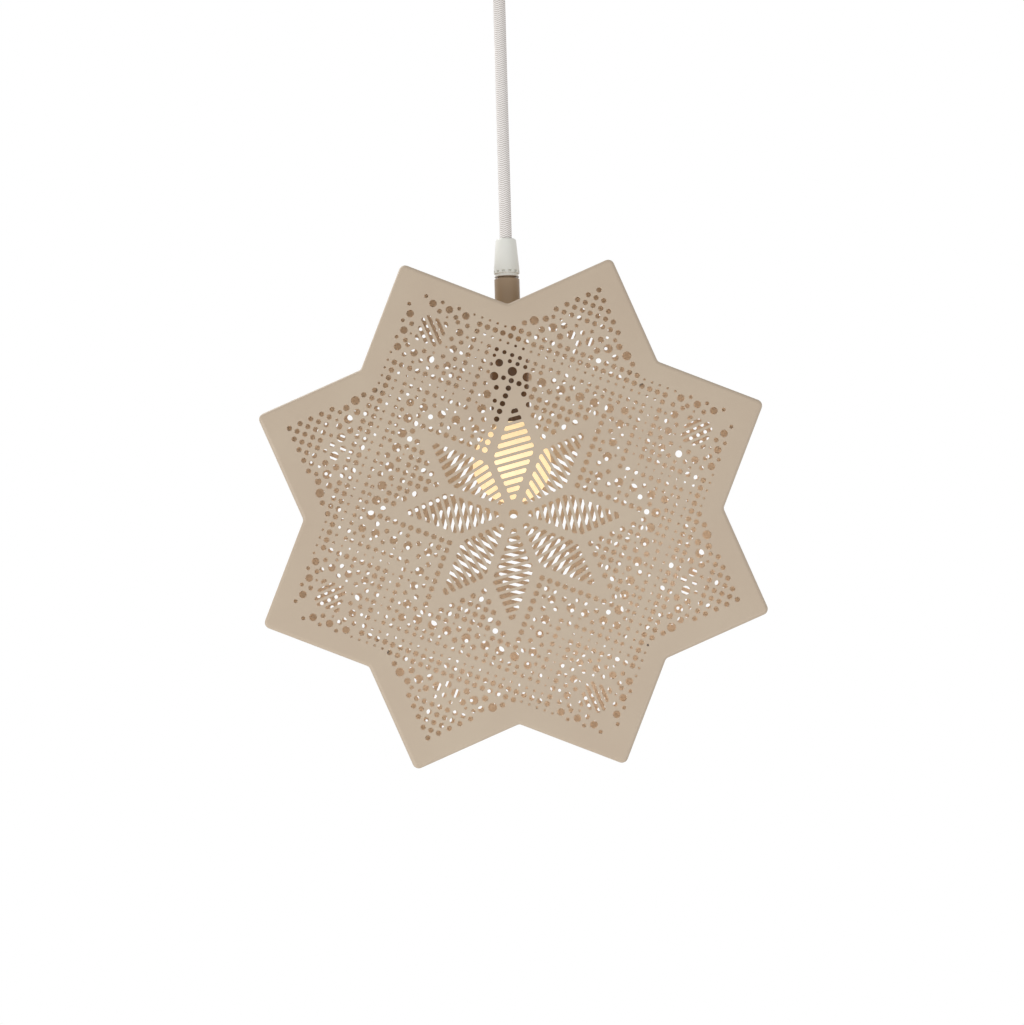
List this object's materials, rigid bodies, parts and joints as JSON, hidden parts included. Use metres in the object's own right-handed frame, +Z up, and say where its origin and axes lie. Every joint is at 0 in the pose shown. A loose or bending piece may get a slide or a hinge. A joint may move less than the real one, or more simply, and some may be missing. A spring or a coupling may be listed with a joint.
{
  "type": "flat star lantern pendant",
  "caption": "Flat eight-pointed pendant lantern of perforated taupe sheet steel, hung by an off-white textile flex, with a golf-ball bulb inside.",
  "frame": {"origin": "on the ceiling, at the middle of the ceiling bracket, above the middle of the star", "axes": "+Z up, the star's front faces -Y, +X to the right when seen from the front"},
  "size_m": [0.2786, 0.084, 0.4979],
  "materials": {
    "taupe_paint": "satin",
    "zinc_steel": "satin",
    "white_plastic": "satin",
    "cord_braid": "matte",
    "dark_plastic": "gloss",
    "ceramic_plastic": "matte",
    "block_plastic": "satin",
    "brass": "satin",
    "brown_core": "satin",
    "blue_core": "satin",
    "opal_globe": "satin",
    "nickel_cap": "satin",
    "black_insulator": "gloss"
  },
  "bodies": {
    "ceiling": {"ceiling_bracket": "zinc_steel", "ceiling_cup": "taupe_paint", "cup_screws": "zinc_steel", "cup_nut": "zinc_steel", "cup_nipple": "zinc_steel", "cup_collar": "white_plastic", "ceiling_cord_grip": "white_plastic", "terminal_block": "block_plastic", "terminal_screws": "brass", "flex_in_cup": "cord_braid", "cup_live_core": "brown_core", "cup_neutral_core": "blue_core"},
    "cord": {"flex": "cord_braid"},
    "lamp": {"lamp_cord_grip": "white_plastic", "lamp_collar": "white_plastic", "lamp_nipple": "zinc_steel", "drop_tube": "taupe_paint", "front_sheet": "taupe_paint", "rim_band": "taupe_paint", "holder_cap": "dark_plastic", "holder_skirt": "dark_plastic", "holder_insert": "ceramic_plastic", "holder_screw_shell": "brass", "holder_contact": "brass", "lamp_live_core": "brown_core", "lamp_neutral_core": "blue_core"},
    "back_cover": {"back_cover": "taupe_paint", "cover_screws": "zinc_steel"},
    "bulb": {"bulb_globe": "opal_globe", "bulb_cap": "nickel_cap", "bulb_insulator": "black_insulator", "bulb_tip": "nickel_cap"}
  },
  "joints": [
    {"name": "swing", "type": "hinge", "parent": "ceiling", "child": "cord", "pos_m": [0, 0, -0.0597], "axis": [0, 1, 0], "range_deg": [-20, 20]},
    {"name": "twist", "type": "hinge", "parent": "cord", "child": "lamp", "pos_m": [0, 0, -0.2207], "axis": [0, 0, 1], "range_deg": [-180, 180]},
    {"name": "cover_lift_off", "type": "slide", "parent": "lamp", "child": "back_cover", "axis": [0, 1, 0], "range_m": [0, 0.08]},
    {"name": "bulb_unscrew", "type": "slide", "parent": "lamp", "child": "bulb", "axis": [0, 0, -1], "range_m": [0, 0.03]}
  ]
}
